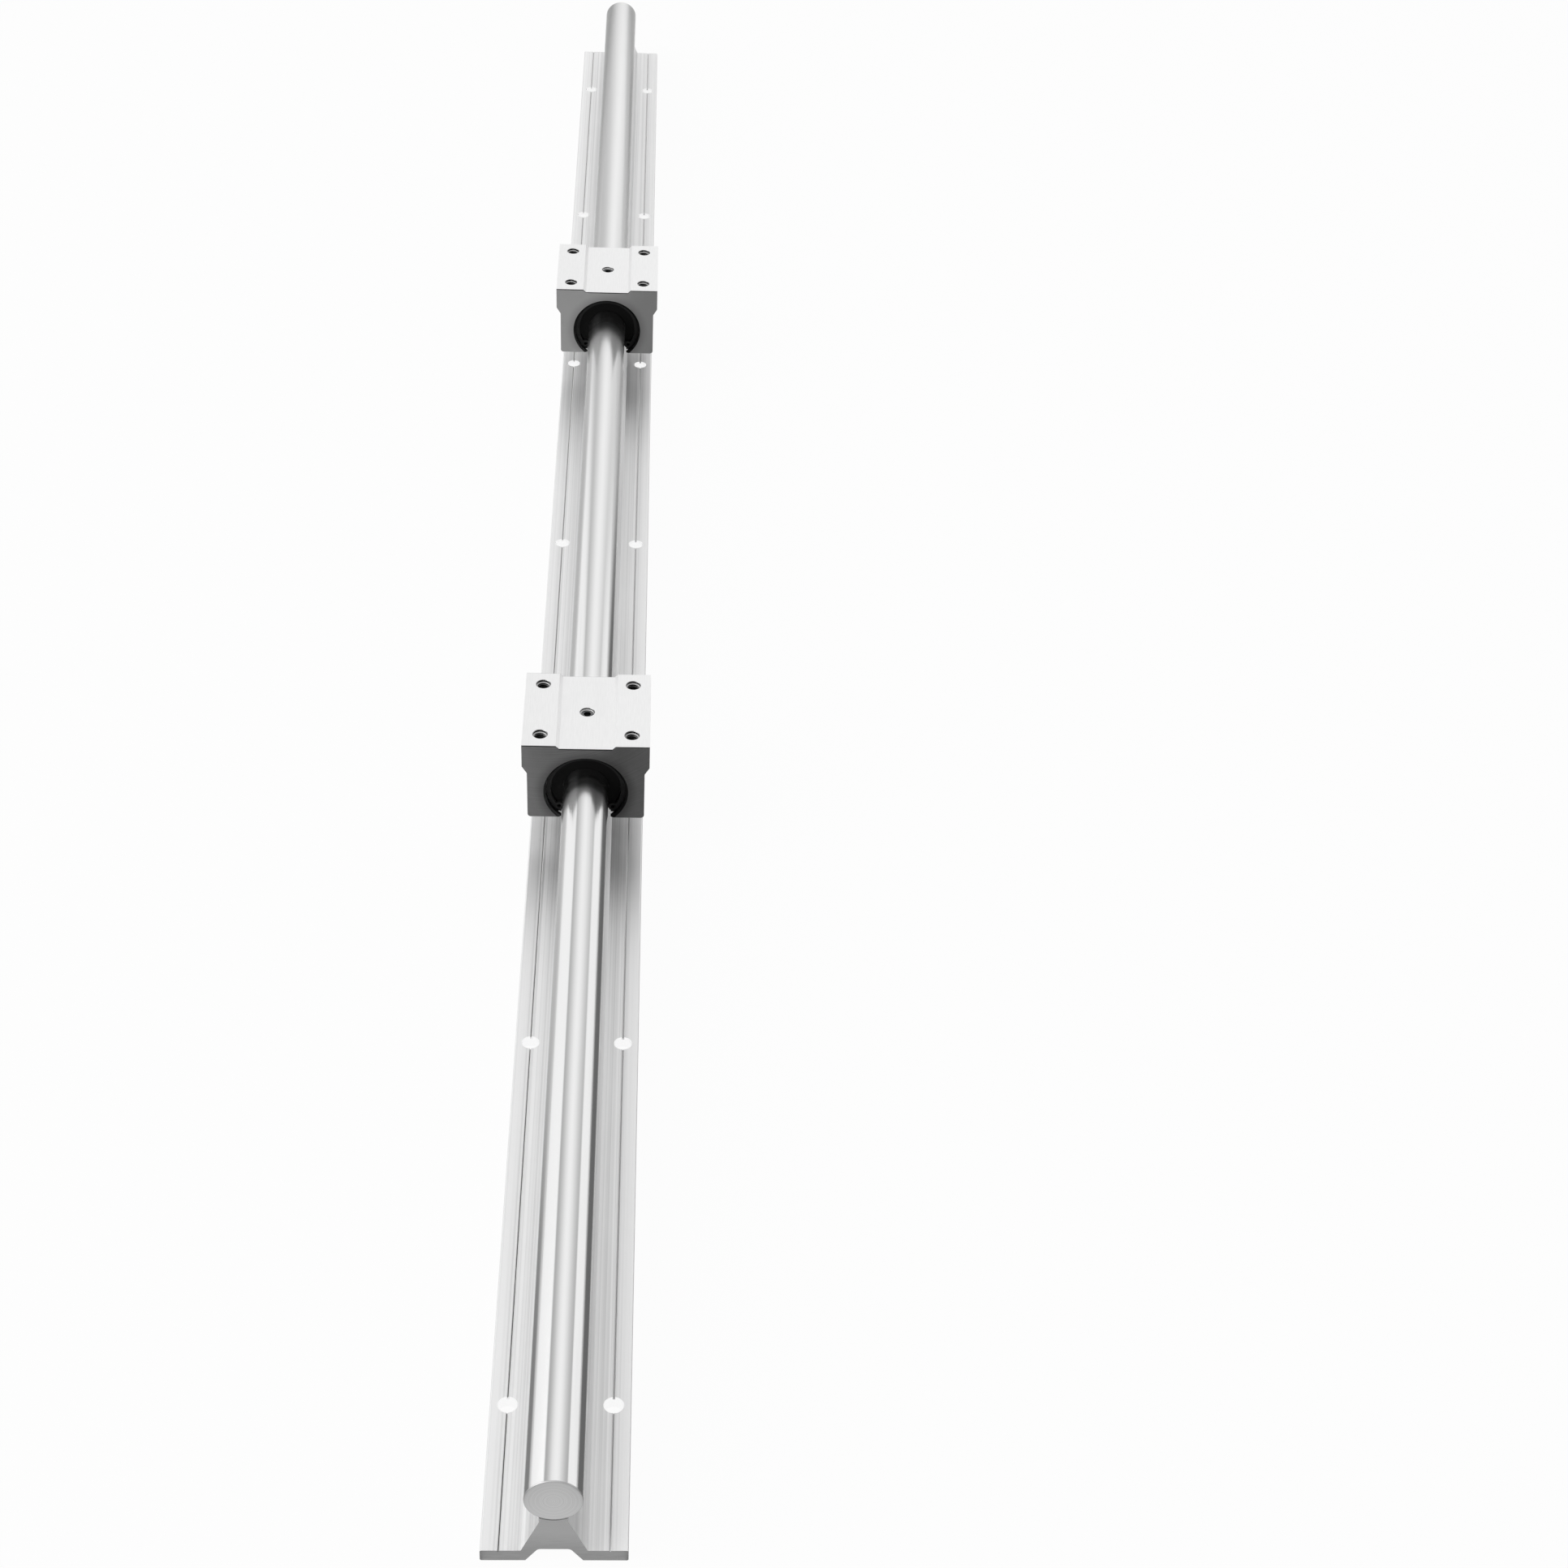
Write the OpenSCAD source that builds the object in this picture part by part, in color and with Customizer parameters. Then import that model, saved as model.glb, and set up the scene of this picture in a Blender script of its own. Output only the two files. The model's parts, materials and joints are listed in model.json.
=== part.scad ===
// Supported round rail: a hardened shaft bolted along an extruded aluminium
// support, with two open ball-bushing blocks running on it.
// Frame: +Y along the rail, +Z up, origin under the middle of the support's base.

/* [Rail] */
// Length of the shaft and its support
rail_l = 1000; // [400:50:1500]
// Height of the shaft's axis over the base
axis_h = 25; // [24:0.5:30]
// Distance between two neighbouring rows of holes along the rail
hole_pitch = 150; // [100:10:200]
// Distance from each end of the rail to the first row of holes
end_margin = 50; // [25:5:75]

/* [Shaft] */
// Diameter of the shaft
shaft_d = 16; // [15:0.5:17]
// Chamfer at both ends of the shaft
shaft_chamfer = 0.5; // [0.2:0.1:1]

/* [Support] */
// Width of the base flange
base_w = 40; // [36:1:48]
// Thickness of the base flange
flange_t = 4; // [3:0.5:6]
// Rounding of the flange's outer corners
flange_round = 0.5; // [0.2:0.1:1]
// Width of the neck where it carries the shaft
neck_top_w = 7.8; // [7:0.2:9]
// Width of the neck where it meets the flange
neck_root_w = 18; // [16:0.5:20]
// Height of the neck's upright sides below the edge of the shaft seat
neck_lip_h = 1.8; // [1:0.1:3]
// Width of the channel under the base at its mouth
channel_mouth_w = 15.6; // [14:0.2:17]
// Width of the flat part of the channel's roof
channel_roof_w = 7.2; // [6:0.2:9]
// Radius of the channel's rounded shoulders
channel_round = 1.5; // [1:0.1:2.5]
// Depth of the channel
channel_depth = 4.8; // [4:0.2:5]
// Width of the marking groove along each side of the flange
mark_w = 0.7; // [0.4:0.1:1]
// Depth of the marking groove
mark_depth = 0.5; // [0.3:0.1:0.8]

/* [Flange holes] */
// Diameter of the holes that bolt the rail down
flange_hole_d = 5.5; // [5:0.1:6.5]
// Distance across the rail between the two holes of a row
flange_hole_gauge = 30; // [28:1:32]

/* [Shaft screws] */
// Diameter of the screw's shank
screw_d = 5; // [4:1:5]
// Length of the shank under the head
screw_l = 16; // [14:1:18]
// Diameter of the cap head
screw_head_d = 8.5; // [7:0.5:9]
// Height of the cap head
screw_head_h = 5; // [4:0.5:5]
// Width across the flats of the hexagon socket
screw_key = 4; // [3:0.5:4]
// Depth of the hexagon socket
screw_key_depth = 2.5; // [2:0.5:3]
// Height over the base of the seat that the head bears on
screw_seat_h = 8; // [7:0.5:9]
// Distance that the blind hole in the shaft runs on past the screw
screw_hole_spare = 1.5; // [1:0.5:2]

/* [Block] */
// Length of the block along the rail
block_l = 44; // [44:1:60]
// Width of the block across its top
block_w = 44.5; // [44:0.5:50]
// Width of the block below its shoulders
block_waist_w = 41; // [40:0.5:44]
// Height of the mounting face over the shaft's axis
block_top_h = 20; // [19:0.5:24]
// Depth of the block's feet below the shaft's axis
block_foot_h = 11; // [10:0.5:12]
// Height of the upright part of the shoulders
shoulder_h = 9; // [7:0.5:11]
// Height of the slope from the shoulders to the waist
shoulder_slope_h = 2.9; // [1:0.1:4]
// Rounding of the outer edge of each foot
foot_round = 1.2; // [0.5:0.1:2]
// Width of the relief between the two mounting pads
relief_w = 20.8; // [18:0.2:24]
// Depth of the relief between the two mounting pads
relief_depth = 1.2; // [0.6:0.1:1.6]
// Chamfer at both mouths of the bore
bore_chamfer = 0.6; // [0.3:0.1:1]
// Distance across the rail between the tapped mounting holes
tap_gauge_x = 32; // [31:1:36]
// Distance along the rail between the tapped mounting holes
tap_gauge_y = 30; // [24:1:34]
// Drilled diameter of the tapped mounting holes
tap_d = 4.2; // [4:0.1:4.5]
// Depth of the tapped mounting holes
tap_depth = 12; // [8:1:12]
// Diameter of the countersink at each tapped hole's mouth
tap_sink_d = 5.4; // [5:0.1:6]

/* [Ball bushing] */
// Outer diameter of the bushing and bore of the block
bushing_d = 28; // [27:0.5:29]
// Length of the bushing
bushing_l = 37; // [36:0.5:38]
// Angle of the opening that the support's neck passes through
opening_angle = 80; // [70:2:90]
// Diameter of the balls
ball_d = 3.175; // [2.8:0.025:3.3]
// Number of ball circuits round the shaft
circuits = 4; // [2:2:4]
// Balls in each straight row of a circuit
row_balls = 8; // [5:1:8]
// Distance between two balls in a row
ball_pitch = 3.25; // [3.2:0.05:3.4]
// Distance from the middle of a circuit to each of its two rows
row_offset = 2.3; // [2.3:0.05:2.5]
// Distance that the balls are lifted off the shaft on their way back
ball_lift = 0.75; // [0.6:0.05:0.9]
// Thickness of the cage's floor between the returning balls and the shaft
cage_floor_t = 0.3; // [0.2:0.05:0.4]
// Gap between the shaft and the cage
cage_shaft_gap = 0.35; // [0.2:0.05:0.4]
// Width of the slot through which a loaded row touches the shaft
window_w = 2.9; // [2.8:0.1:3]
// Width of the collar at each end of the cage
collar_w = 0.9; // [0.6:0.1:1]
// Thickness of each end seal
seal_t = 1.8; // [1.2:0.1:2]
// Thickness of the seal's lip at the shaft
seal_lip_t = 0.6; // [0.4:0.1:0.8]
// Width of the band over which the seal thins to its lip
seal_lip_w = 1.4; // [1:0.1:2]
// Distance over the outer sides of the two grooves round the bushing
band_span = 26.5; // [24:0.5:28]
// Width of each groove round the bushing
band_w = 1.6; // [1.2:0.1:2]
// Depth of each groove round the bushing
band_depth = 0.5; // [0.3:0.1:0.6]
// Chamfer at both ends of the bushing
bushing_chamfer = 0.5; // [0.3:0.1:0.8]

/* [Snap rings] */
// Thickness of the snap rings that hold the bushing
ring_t = 1.2; // [1:0.1:1.4]
// Width of the snap ring's band
ring_w = 2.2; // [1.8:0.1:2.4]
// Depth of the groove that a snap ring springs into
ring_groove_depth = 0.7; // [0.5:0.05:0.9]
// Angle from straight down to each end of a snap ring
ring_gap_angle = 50; // [48:1:60]
// Diameter of the eye at each end of a snap ring
ring_eye_d = 3.2; // [3:0.1:3.6]
// Diameter of the plier hole in each eye
ring_hole_d = 1.5; // [1.2:0.1:1.8]

/* [Lock screw] */
// Diameter of the set screw that stops the bushing turning
lock_d = 5; // [4:0.5:5]
// Length of the set screw
lock_l = 4; // [3:0.5:4.5]
// Width across the flats of its hexagon socket
lock_key = 2.5; // [2:0.5:2.5]
// Depth of its hexagon socket
lock_key_depth = 2; // [1.5:0.5:2.5]

/* [Fits] */
// Gap between pieces that are seated in each other
seat_gap = 0.05; // [0.02:0.01:0.1]
// Gap between the shaft and the balls and seal lips that run on it
run_gap = 0.04; // [0.02:0.01:0.1]
// Gap round a screw that passes through a clear hole
clear_gap = 0.25; // [0.2:0.05:0.5]
// Gap between a ball and the walls that guide it
ball_gap = 0.12; // [0.08:0.02:0.16]

/* [Placement] */
// Place of the near block's middle along the rail
near_y = -172; // [-400:0.5:-60]
// Place of the far block's middle along the rail
far_y = 164.5; // [60:0.5:400]

/* [Hidden] */
// Rows of holes, evenly about the rail's middle, with one shaft screw at each
rows = 1 + floor((rail_l - 2 * end_margin) / hole_pitch);
row_y = [for (i = [0:rows - 1]) (i - (rows - 1) / 2) * hole_pitch];

$fn = 64;

over = 1;                        // how far a cut runs past the face it opens
shaft_r = shaft_d / 2;
bushing_r = bushing_d / 2;
ball_r = ball_d / 2;

// Neck of the support: where its upright lips meet the shaft seat
seat_r = shaft_r + seat_gap;
lip_top_z = axis_h - sqrt(pow(seat_r, 2) - pow(neck_top_w / 2, 2));
lip_foot_z = axis_h - shaft_r - neck_lip_h / 2;

// Radii inside the bushing, from the shaft outwards
loaded_r = shaft_r + run_gap + ball_r;
return_r = loaded_r + ball_lift;
race_r = loaded_r + ball_r + run_gap / 2;
sleeve_bore_r = return_r + ball_r + ball_gap;
cage_bore_r = shaft_r + cage_shaft_gap;
cage_floor_r = cage_bore_r + cage_floor_t;
cage_r = race_r - 2 * seat_gap;
row_l = (row_balls - 1) * ball_pitch;
slot_r = ball_r + ball_gap;
loaded_angle = asin(row_offset / loaded_r);
cage_l = bushing_l - 2 * (seal_t + seat_gap);

// Circuits are spread evenly over the closed part of the bushing
closed_angle = 360 - opening_angle;
circuit_step = closed_angle / circuits;
circuit_angle = [for (i = [0:circuits - 1]) (i + 0.5) * circuit_step - closed_angle / 2];
// The upper circuits carry on the side next the top, the lower ones next the opening
function load_side(a) = sign(a) * (abs(a) < 90 ? -1 : 1);

ring_groove_w = ring_t + 2 * seat_gap;
ring_mid_y = bushing_l / 2 + seat_gap + ring_groove_w / 2;

// ---- Helpers ----

// Points along an arc about [x, y], from one angle to another
function arc(x, y, r, from, to, steps = 6) =
    [for (i = [0:steps]) let (a = from + i * (to - from) / steps)
        [x + r * cos(a), y + r * sin(a)]];

// A right half followed by its mirror image, as one closed outline
function mirrored(half) =
    concat(half, [for (i = [len(half) - 1:-1:0]) [-half[i][0], half[i][1]]]);

// Extrudes an outline that is drawn across the rail, X across and Y up
module along_rail(length) {
    rotate([90, 0, 0]) linear_extrude(length, center = true) children();
}

// Turns an outline of radius and length about the rail's direction, all round
module turned() {
    rotate([90, 0, 0]) rotate_extrude() children();
}

// The same over part of the turn: an angle wide, its middle that far from the top
module turned_sector(angle, middle = 0) {
    rotate([90, 0, 0]) rotate([0, 0, 90 - middle - angle / 2])
        rotate_extrude(angle = angle) children();
}

// A slot outline with round ends, running along Y
module slot(r, length) {
    polygon(concat(arc(0, length / 2, r, 0, 180, 8), arc(0, -length / 2, r, 180, 360, 8)));
}

// A hexagon socket that opens upwards at z = 0
module socket(across_flats, depth) {
    translate([0, 0, -depth])
        cylinder(d = across_flats / cos(30), h = depth + over, $fn = 6);
}

// ---- Rail ----

// Right half of the support's outline, from the channel's roof round to the neck.
// The channel's side runs straight from its mouth and touches the shoulder's arc.
function support_half() =
    let (shoulder_z = channel_depth - channel_round,
         reach = (channel_mouth_w - channel_roof_w) / 2,
         touch_angle = acos(channel_round / norm([reach, shoulder_z]))
             - atan2(shoulder_z, reach),
         flange_x = base_w / 2 - flange_round,
         mark_x = flange_hole_gauge / 2)
    concat(
        arc(channel_roof_w / 2, shoulder_z, channel_round, 90, touch_angle, 4),
        [[channel_mouth_w / 2, 0]],
        arc(flange_x, flange_round, flange_round, -90, 0),
        arc(flange_x, flange_t - flange_round, flange_round, 0, 90),
        [[mark_x + mark_w / 2, flange_t], [mark_x, flange_t - mark_depth],
         [mark_x - mark_w / 2, flange_t], [neck_root_w / 2, flange_t],
         [neck_top_w / 2, lip_foot_z], [neck_top_w / 2, lip_top_z + over]]
    );

module support_rail() {
    color("gainsboro") difference() {
        along_rail(rail_l) difference() {
            polygon(mirrored(support_half()));
            translate([0, axis_h]) circle(seat_r);
        }
        for (y = row_y) translate([0, y, 0]) {
            for (s = [-1, 1]) translate([s * flange_hole_gauge / 2, 0, -over])
                cylinder(d = flange_hole_d, h = flange_t + 2 * over);
            cylinder(d = screw_d + 2 * clear_gap, h = axis_h);
            cylinder(d = screw_head_d + 4 * clear_gap, h = screw_seat_h);
        }
    }
}

module shaft() {
    half = rail_l / 2;
    hole_z = screw_seat_h + screw_l + screw_hole_spare;
    hole_r = screw_d / 2 + seat_gap;
    color("silver") difference() {
        translate([0, 0, axis_h]) turned() polygon([
            [0, -half], [shaft_r - shaft_chamfer, -half], [shaft_r, shaft_chamfer - half],
            [shaft_r, half - shaft_chamfer], [shaft_r - shaft_chamfer, half], [0, half]
        ]);
        for (y = row_y) translate([0, y, 0]) {
            translate([0, 0, axis_h - shaft_r - over])
                cylinder(r = hole_r, h = hole_z - axis_h + shaft_r + over);
            translate([0, 0, hole_z]) cylinder(r1 = hole_r, r2 = 0, h = hole_r / 2);
        }
    }
}

// Cap screw that draws the shaft onto its seat from below, one at each row
module shaft_screw(y) {
    color("dimgray") translate([0, y, screw_seat_h]) difference() {
        union() {
            translate([0, 0, -screw_head_h]) cylinder(d = screw_head_d, h = screw_head_h);
            cylinder(d = screw_d, h = screw_l);
        }
        translate([0, 0, -screw_head_h]) mirror([0, 0, 1]) socket(screw_key, screw_key_depth);
    }
}

// ---- Block: everything below is drawn about the shaft's axis at the block's middle ----

module on_shaft(y) {
    translate([0, y, axis_h]) children();
}

// Right half of the housing's outline, from the foot up to the relief
function housing_half() =
    let (waist = block_waist_w / 2,
         slope_z = block_top_h - shoulder_h - shoulder_slope_h)
    concat(
        arc(waist - foot_round, foot_round - block_foot_h, foot_round, -90, 0),
        [[waist, slope_z], [block_w / 2, slope_z + shoulder_slope_h],
         [block_w / 2, block_top_h], [relief_w / 2, block_top_h],
         [relief_w / 2 - relief_depth, block_top_h - relief_depth]]
    );

// One tapped hole: drilled with a pointed end and countersunk at its mouth
module tapped_hole() {
    r = tap_d / 2;
    sink_r = tap_sink_d / 2;
    translate([0, 0, block_top_h - tap_depth]) cylinder(r = r, h = tap_depth + over);
    translate([0, 0, block_top_h - tap_depth - r / 2]) cylinder(r1 = 0, r2 = r, h = r / 2);
    translate([0, 0, block_top_h - sink_r + r]) cylinder(r1 = r, r2 = sink_r, h = sink_r - r);
}

module housing(y) {
    half = block_l / 2;
    mouth_r = bushing_r + bore_chamfer;
    groove_r = bushing_r + ring_groove_depth;
    color("whitesmoke") on_shaft(y) difference() {
        along_rail(block_l) difference() {
            polygon(mirrored(housing_half()));
            circle(bushing_r, $fn = 96);
        }
        turned() {
            for (s = [-1, 1]) {
                translate([0, s * ring_mid_y - ring_groove_w / 2])
                    square([groove_r, ring_groove_w]);
                polygon([
                    [0, s * (half - bore_chamfer)], [bushing_r, s * (half - bore_chamfer)],
                    [mouth_r, s * half], [mouth_r, s * (half + over)], [0, s * (half + over)]
                ]);
            }
        }
        for (sx = [-1, 1], sy = [-1, 1])
            translate([sx * tap_gauge_x / 2, sy * tap_gauge_y / 2, 0]) tapped_hole();
        cylinder(d = lock_d + 2 * seat_gap, h = block_top_h);
    }
}

// Hardened outer sleeve: raised races over the loaded rows, relieved elsewhere
module bushing_sleeve(y) {
    r = bushing_r - seat_gap;
    half = bushing_l / 2;
    band = band_span / 2;
    race_l = row_l + ball_d;
    race_angle = 2 * asin(ball_r / sleeve_bore_r);
    color("slategray") on_shaft(y) {
        turned_sector(closed_angle) polygon([
            [sleeve_bore_r, -half], [r - bushing_chamfer, -half],
            [r, bushing_chamfer - half], [r, -band], [r - band_depth, -band],
            [r - band_depth, band_w - band], [r, band_w - band],
            [r, band - band_w], [r - band_depth, band - band_w],
            [r - band_depth, band], [r, band], [r, half - bushing_chamfer],
            [r - bushing_chamfer, half], [sleeve_bore_r, half]
        ]);
        for (a = circuit_angle)
            turned_sector(race_angle, a + load_side(a) * loaded_angle)
                translate([race_r, -race_l / 2])
                    square([sleeve_bore_r + band_depth - race_r, race_l]);
    }
}

// Moulded cage: an open ring with an oval track for each circuit, floored towards
// the shaft except under the loaded row, where the balls reach through a window
module ball_cage(y) {
    half = cage_l / 2;
    collar_r = sleeve_bore_r - seat_gap;
    color("dimgray") on_shaft(y) difference() {
        turned_sector(closed_angle) polygon([
            [cage_bore_r, -half], [collar_r, -half], [collar_r, collar_w - half],
            [cage_r, collar_w - half], [cage_r, half - collar_w],
            [collar_r, half - collar_w], [collar_r, half], [cage_bore_r, half]
        ]);
        for (a = circuit_angle) {
            rotate([0, a, 0]) intersection() {
                linear_extrude(bushing_r) difference() {
                    slot(row_offset + slot_r, row_l);
                    slot(row_offset - slot_r, row_l);
                }
                turned() translate([cage_floor_r, -half]) square([bushing_r, cage_l]);
            }
            rotate([0, a + load_side(a) * loaded_angle, 0])
                linear_extrude(bushing_r) slot(window_w / 2, row_l);
        }
    }
}

// Balls of one circuit: a loaded row, the returning row and one ball at each turn
module circuit_balls() {
    row = [for (i = [0:row_balls - 1]) i * ball_pitch - row_l / 2];
    loaded_h = sqrt(pow(loaded_r, 2) - pow(row_offset, 2));
    return_h = sqrt(pow(return_r, 2) - pow(row_offset, 2));
    for (y = row) {
        translate([row_offset, y, loaded_h]) sphere(ball_r, $fn = 16);
        translate([-row_offset, y, return_h]) sphere(ball_r, $fn = 16);
    }
    for (s = [-1, 1])
        translate([0, s * (row_l / 2 + row_offset), return_r]) sphere(ball_r, $fn = 16);
}

module balls(y) {
    color("silver") on_shaft(y) for (a = circuit_angle)
        rotate([0, a, 0]) scale([load_side(a), 1, 1]) circuit_balls();
}

// End seal: a disc that thins to a lip just off the shaft; side is -1 front, 1 back
module seal(y, side) {
    outer_face = bushing_l / 2;
    inner_face = outer_face - seal_t;
    lip_r = shaft_r + run_gap;
    color("black") on_shaft(y) turned_sector(closed_angle) polygon([
        [lip_r, -side * outer_face], [sleeve_bore_r - seat_gap, -side * outer_face],
        [sleeve_bore_r - seat_gap, -side * inner_face],
        [lip_r + seal_lip_w, -side * inner_face],
        [lip_r, -side * (outer_face - seal_lip_t)]
    ]);
}

// Snap ring in the bore's groove, with an eye for the pliers at each end
module snap_ring(y, side) {
    r = bushing_r + ring_groove_depth - seat_gap;
    eye_r = r - ring_eye_d / 2 - ring_groove_depth;
    color("black") on_shaft(y) translate([0, side * ring_mid_y, 0]) difference() {
        union() {
            turned_sector(360 - 2 * ring_gap_angle)
                translate([r - ring_w, -ring_t / 2]) square([ring_w, ring_t]);
            for (s = [-1, 1]) rotate([0, s * (180 - ring_gap_angle), 0])
                translate([0, 0, eye_r]) along_rail(ring_t) circle(d = ring_eye_d, $fn = 32);
        }
        for (s = [-1, 1]) rotate([0, s * (180 - ring_gap_angle), 0])
            translate([0, 0, eye_r])
                along_rail(ring_t + over) circle(d = ring_hole_d, $fn = 24);
    }
}

// Set screw over the bushing; its tip stops just short of the sleeve
module lock_screw(y) {
    color("dimgray") on_shaft(y) translate([0, 0, bushing_r]) difference() {
        cylinder(d = lock_d, h = lock_l);
        translate([0, 0, lock_l]) socket(lock_key, lock_key_depth);
    }
}

support_rail();
shaft();
for (i = [1:rows])
    shaft_screw(row_y[i - 1]);
housing(near_y);  // near_housing
bushing_sleeve(near_y);  // near_bushing_sleeve
ball_cage(near_y);  // near_ball_cage
balls(near_y);  // near_balls
seal(near_y, -1);  // near_seal_front
seal(near_y, 1);  // near_seal_back
snap_ring(near_y, -1);  // near_snap_ring_front
snap_ring(near_y, 1);  // near_snap_ring_back
lock_screw(near_y);  // near_lock_screw
housing(far_y);  // far_housing
bushing_sleeve(far_y);  // far_bushing_sleeve
ball_cage(far_y);  // far_ball_cage
balls(far_y);  // far_balls
seal(far_y, -1);  // far_seal_front
seal(far_y, 1);  // far_seal_back
snap_ring(far_y, -1);  // far_snap_ring_front
snap_ring(far_y, 1);  // far_snap_ring_back
lock_screw(far_y);  // far_lock_screw
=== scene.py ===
# %% [markdown]
# # A supported round rail
#
# Machines slide on parts like this one: a hard, ground steel shaft lies along an extruded
# aluminium support, and two blocks with open ball bushings run on it. The engineering model
# already holds every piece at its true size. This lesson dresses it: it gives each piece the
# finish that its making leaves behind, cuts the screw threads, and sets up a small studio.
#
# The model is loaded first and never moved. Many sizes that the lesson needs are measured from it; the
# rest are given.

# %% Load the imported part
import json
import math

import bmesh
import bpy
from mathutils import Matrix, Vector


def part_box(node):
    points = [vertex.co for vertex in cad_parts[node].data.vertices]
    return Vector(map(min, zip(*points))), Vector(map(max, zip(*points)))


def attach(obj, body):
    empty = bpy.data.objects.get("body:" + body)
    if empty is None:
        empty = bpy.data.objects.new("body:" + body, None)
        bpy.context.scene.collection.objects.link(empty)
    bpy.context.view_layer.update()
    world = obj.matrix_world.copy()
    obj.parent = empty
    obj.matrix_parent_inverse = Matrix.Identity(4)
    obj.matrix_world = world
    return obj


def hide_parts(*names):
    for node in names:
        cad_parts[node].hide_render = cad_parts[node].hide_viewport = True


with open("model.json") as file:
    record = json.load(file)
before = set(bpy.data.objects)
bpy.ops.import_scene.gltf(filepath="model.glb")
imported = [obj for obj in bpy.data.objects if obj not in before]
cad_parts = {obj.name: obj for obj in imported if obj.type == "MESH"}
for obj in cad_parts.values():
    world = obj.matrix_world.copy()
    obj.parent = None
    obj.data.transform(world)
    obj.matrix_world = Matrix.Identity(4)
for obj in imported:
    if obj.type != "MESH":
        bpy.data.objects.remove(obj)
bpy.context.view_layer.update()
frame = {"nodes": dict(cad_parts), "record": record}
nodes = frame["nodes"]
MM = 0.001
BLOCKS = ("near", "far")
print("pieces loaded:", len(nodes))

# %% Measure the rail
support_low, support_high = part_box("support_rail")
shaft_low, shaft_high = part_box("shaft")
RAIL_L = support_high.y - support_low.y
AXIS_Z = (shaft_low.z + shaft_high.z) / 2
SHAFT_R = (shaft_high.z - shaft_low.z) / 2
FLANGE_TOP = 4 * MM
BLOCK_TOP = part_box("near_housing")[1].z
print(f"rail {RAIL_L:.3f} m long, shaft {2 * SHAFT_R:.4f} m thick, its axis {AXIS_Z:.4f} m up")

# %% [markdown]
# ## The camera
#
# The rail is seen from above its near end, close by, so that it narrows towards the far end.
# A camera can be aimed with a Track To constraint, but its own three axes say the same thing
# without a target: yaw turns it about the vertical, pitch tips it down and roll tilts the view.

# %% Camera axes from yaw, pitch and roll
YAW, PITCH, ROLL = (math.radians(angle) for angle in (3.39, 37.47, 2.92))
CAMERA_PLACE = Vector((0.0233, support_low.y - 0.4725, 0.6278))
LENS_MM = 64.31
SENSOR_MM = 36
CLIP_START = 10 * MM


def camera_matrix(place, yaw, pitch, roll):
    """The camera's matrix: its columns point to its right, up and backwards."""
    ahead = Vector((math.sin(yaw) * math.cos(pitch), math.cos(yaw) * math.cos(pitch), -math.sin(pitch)))
    right = Vector((math.cos(yaw), -math.sin(yaw), 0))
    up = right.cross(ahead)
    rolled_right = right * math.cos(roll) + up * math.sin(roll)
    rolled_up = up * math.cos(roll) - right * math.sin(roll)
    turn = Matrix((rolled_right, rolled_up, -ahead)).transposed()
    return Matrix.Translation(place) @ turn.to_4x4()


# %% Add the camera
bpy.ops.object.camera_add()
camera = bpy.context.object
camera.name = "camera"
camera.matrix_world = camera_matrix(CAMERA_PLACE, YAW, PITCH, ROLL)
camera.data.lens = LENS_MM
camera.data.sensor_width = SENSOR_MM
camera.data.clip_start = CLIP_START
camera.data.dof.use_dof = False
bpy.context.scene.camera = camera
print("camera at", tuple(round(v, 3) for v in camera.location))

# %% [markdown]
# ## Working by hand, from code
#
# The new pieces are modelled with the same operators that a person uses in the window: add a
# primitive, go to edit mode, select some corners or edges, extrude, bisect or bevel. An operator
# acts on whatever is selected, so every step first makes a clean selection. Two small helpers do
# that: one picks objects, the other picks corners, edges or faces by where they lie.

# %% Helpers that select
def only(*things):
    """Selects these objects and nothing else; the first is the active one."""
    if bpy.context.mode != "OBJECT":
        bpy.ops.object.mode_set(mode="OBJECT")
    bpy.ops.object.select_all(action="DESELECT")
    for thing in things:
        thing.select_set(True)
    bpy.context.view_layer.objects.active = things[0]


def middle(element):
    """Where a corner, edge or face lies."""
    if isinstance(element, bmesh.types.BMVert):
        return element.co
    return sum((corner.co for corner in element.verts), Vector()) / len(element.verts)


def pick(thing, kind, wanted):
    """In edit mode, selects the corners, edges or faces that pass a test, and counts them."""
    if thing.mode != "EDIT":
        only(thing)
        bpy.ops.object.mode_set(mode="EDIT")
    bpy.ops.mesh.select_mode(type=kind)
    bpy.ops.mesh.select_all(action="DESELECT")
    mesh = bmesh.from_edit_mesh(thing.data)
    elements = {"VERT": mesh.verts, "EDGE": mesh.edges, "FACE": mesh.faces}[kind]
    chosen = [element for element in elements if wanted(element)]
    for element in chosen:
        element.select = True
    mesh.select_flush_mode()
    bmesh.update_edit_mesh(thing.data)
    return len(chosen)


# %% [markdown]
# Two more helpers finish a piece. One adds a modifier and applies it at once, so that the mesh
# itself holds the result. The other bakes the piece's place into its mesh, so that patterns which
# read its coordinates stay put, and shades round sides smoothly while sharp edges stay sharp.

# %% Helpers that finish a piece
SHARP_DEGREES = 35


def modify(thing, kind, **settings):
    """Adds a modifier to an object and applies it."""
    only(thing)
    modifier = thing.modifiers.new(kind.lower(), kind)
    for name, value in settings.items():
        setattr(modifier, name, value)
    bpy.ops.object.modifier_apply(modifier=modifier.name)


def settle(thing, name):
    """Names a piece, bakes its place into its mesh, and shades its round sides smoothly."""
    only(thing)
    thing.name = name
    thing.data.name = name
    bpy.ops.object.transform_apply(location=True, rotation=True, scale=True)
    bpy.ops.object.shade_smooth_by_angle(angle=math.radians(SHARP_DEGREES))
    triangles = sum(len(face.vertices) - 2 for face in thing.data.polygons)
    print(f"{name}: {triangles} triangles")


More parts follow.
